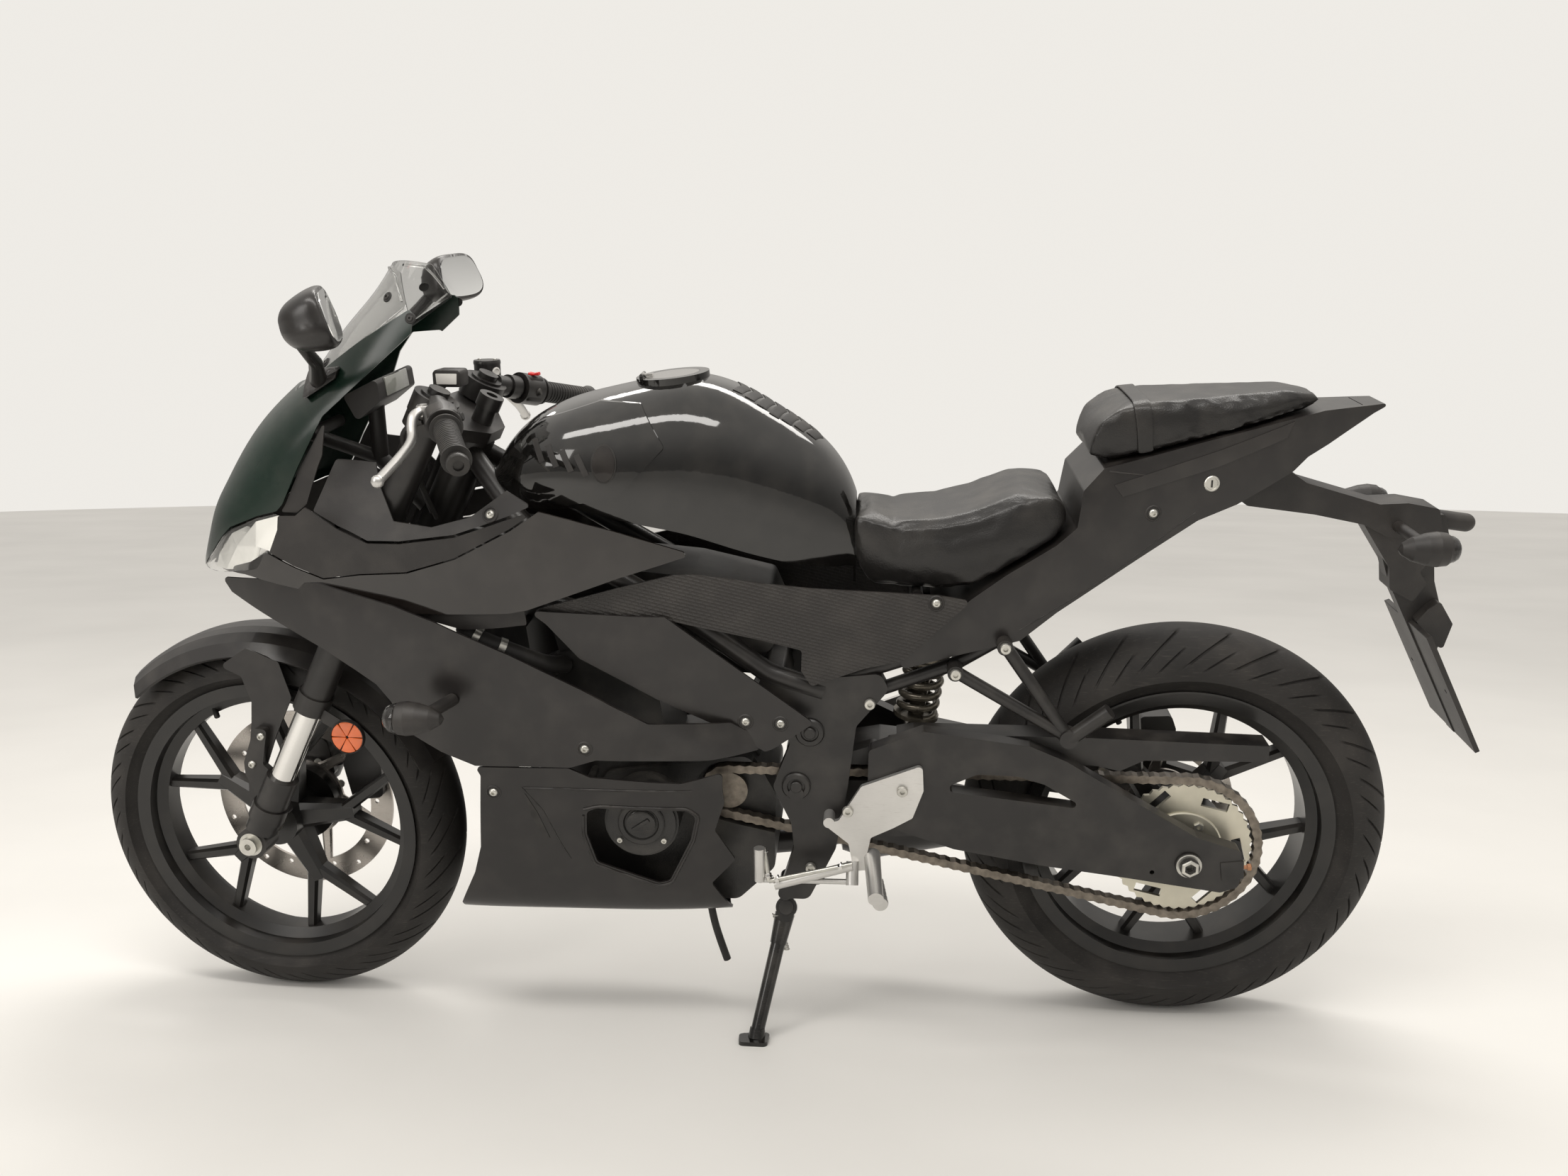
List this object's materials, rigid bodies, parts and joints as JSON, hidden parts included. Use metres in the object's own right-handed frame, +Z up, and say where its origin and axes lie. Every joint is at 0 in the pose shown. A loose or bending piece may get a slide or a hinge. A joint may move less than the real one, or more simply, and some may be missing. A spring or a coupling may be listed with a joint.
{
  "type": "sport motorcycle",
  "caption": "Faired sport motorcycle parked on its side stand, with hinged steering, turning wheels, folding stand and opening filler lid.",
  "frame": {"origin": "centre of the whole object's box, on the ground", "axes": "+X to the front of the vehicle, +Y to its left, +Z up; it leans to its left, onto its stand"},
  "size_m": [2.0758, 0.7174, 1.1762],
  "materials": {
    "black_paint": "satin",
    "engine_black": "satin",
    "black_steel": "matte",
    "gloss_black_paint": "gloss",
    "textured_plastic": "matte",
    "satin_steel": "satin",
    "seat_vinyl": "matte",
    "gloss_dark_plastic": "gloss",
    "green_black_plastic": "satin",
    "red_lens": "gloss",
    "signal_lens": "gloss",
    "clear_screen": "clear",
    "clear_lens": "clear",
    "black_rubber": "matte",
    "silver_alloy": "satin",
    "black_alloy": "satin",
    "chain_steel": "satin",
    "spring_steel": "satin",
    "hard_chrome": "polished",
    "tyre_rubber": "matte",
    "disc_steel": "brushed",
    "sprocket_steel": "satin"
  },
  "bodies": {
    "chassis": {"frame": "black_paint", "engine": "engine_black", "muffler": "black_steel", "fuel_tank": "gloss_black_paint", "tank_side_covers": "textured_plastic", "rider_seat": "seat_vinyl", "pillion_seat": "seat_vinyl", "tail_cowl": "gloss_dark_plastic", "tail_light": "red_lens", "plate_bracket": "textured_plastic", "turn_signals": "signal_lens", "nose_cowl": "green_black_plastic", "windshield": "clear_screen", "headlight_lenses": "clear_lens", "mirrors": "green_black_plastic", "cockpit": "textured_plastic", "side_fairings": "gloss_dark_plastic", "hoses": "black_rubber", "mid_cowls": "gloss_dark_plastic", "belly_pan": "textured_plastic", "side_covers": "textured_plastic", "rearsets": "silver_alloy", "pillion_footrests": "black_alloy", "swingarm": "black_alloy", "chain_guard": "textured_plastic", "chain": "chain_steel", "rear_shock": "spring_steel"},
    "steering": {"fork_clamps": "black_alloy", "fork_legs": "black_alloy", "fork_inner_tubes": "hard_chrome", "handlebars": "black_alloy", "grips": "black_rubber", "hand_levers": "silver_alloy", "front_fender": "green_black_plastic", "front_axle": "satin_steel", "front_caliper": "black_alloy"},
    "front_wheel_body": {"front_wheel": "black_alloy", "front_tyre": "tyre_rubber", "front_disc": "disc_steel"},
    "rear_wheel_body": {"rear_wheel": "black_alloy", "rear_tyre": "tyre_rubber", "rear_disc": "disc_steel", "rear_sprocket": "sprocket_steel"},
    "stand_body": {"side_stand": "black_paint"},
    "lid_body": {"filler_lid": "satin_steel"}
  },
  "joints": [
    {"name": "steering_head", "type": "hinge", "parent": "chassis", "child": "steering", "pos_m": [0.44476, -0.03488, 0.78827], "axis": [-0.4466, 0.1631, 0.8797], "range_deg": [-29.2, 38.8]},
    {"name": "front_wheel_spin", "type": "hinge", "parent": "steering", "child": "front_wheel_body", "pos_m": [0.74571, -0.13083, 0.29049], "axis": [0.075, 0.9866, -0.1448], "continuous": true},
    {"name": "rear_wheel_spin", "type": "hinge", "parent": "chassis", "child": "rear_wheel_body", "pos_m": [-0.63416, -0.12345, 0.30991], "axis": [0.0001, 0.9833, -0.1822], "continuous": true},
    {"name": "side_stand_fold", "type": "hinge", "parent": "chassis", "child": "stand_body", "pos_m": [-0.0561, -0.04929, 0.18354], "axis": [-0.0139, 0.9426, 0.3337], "range_deg": [0, 88]},
    {"name": "filler_lid_hinge", "type": "hinge", "parent": "chassis", "child": "lid_body", "pos_m": [0.14552, 0.00005, 0.97659], "axis": [0.0001, 0.9833, -0.1822], "range_deg": [0, 95]}
  ]
}
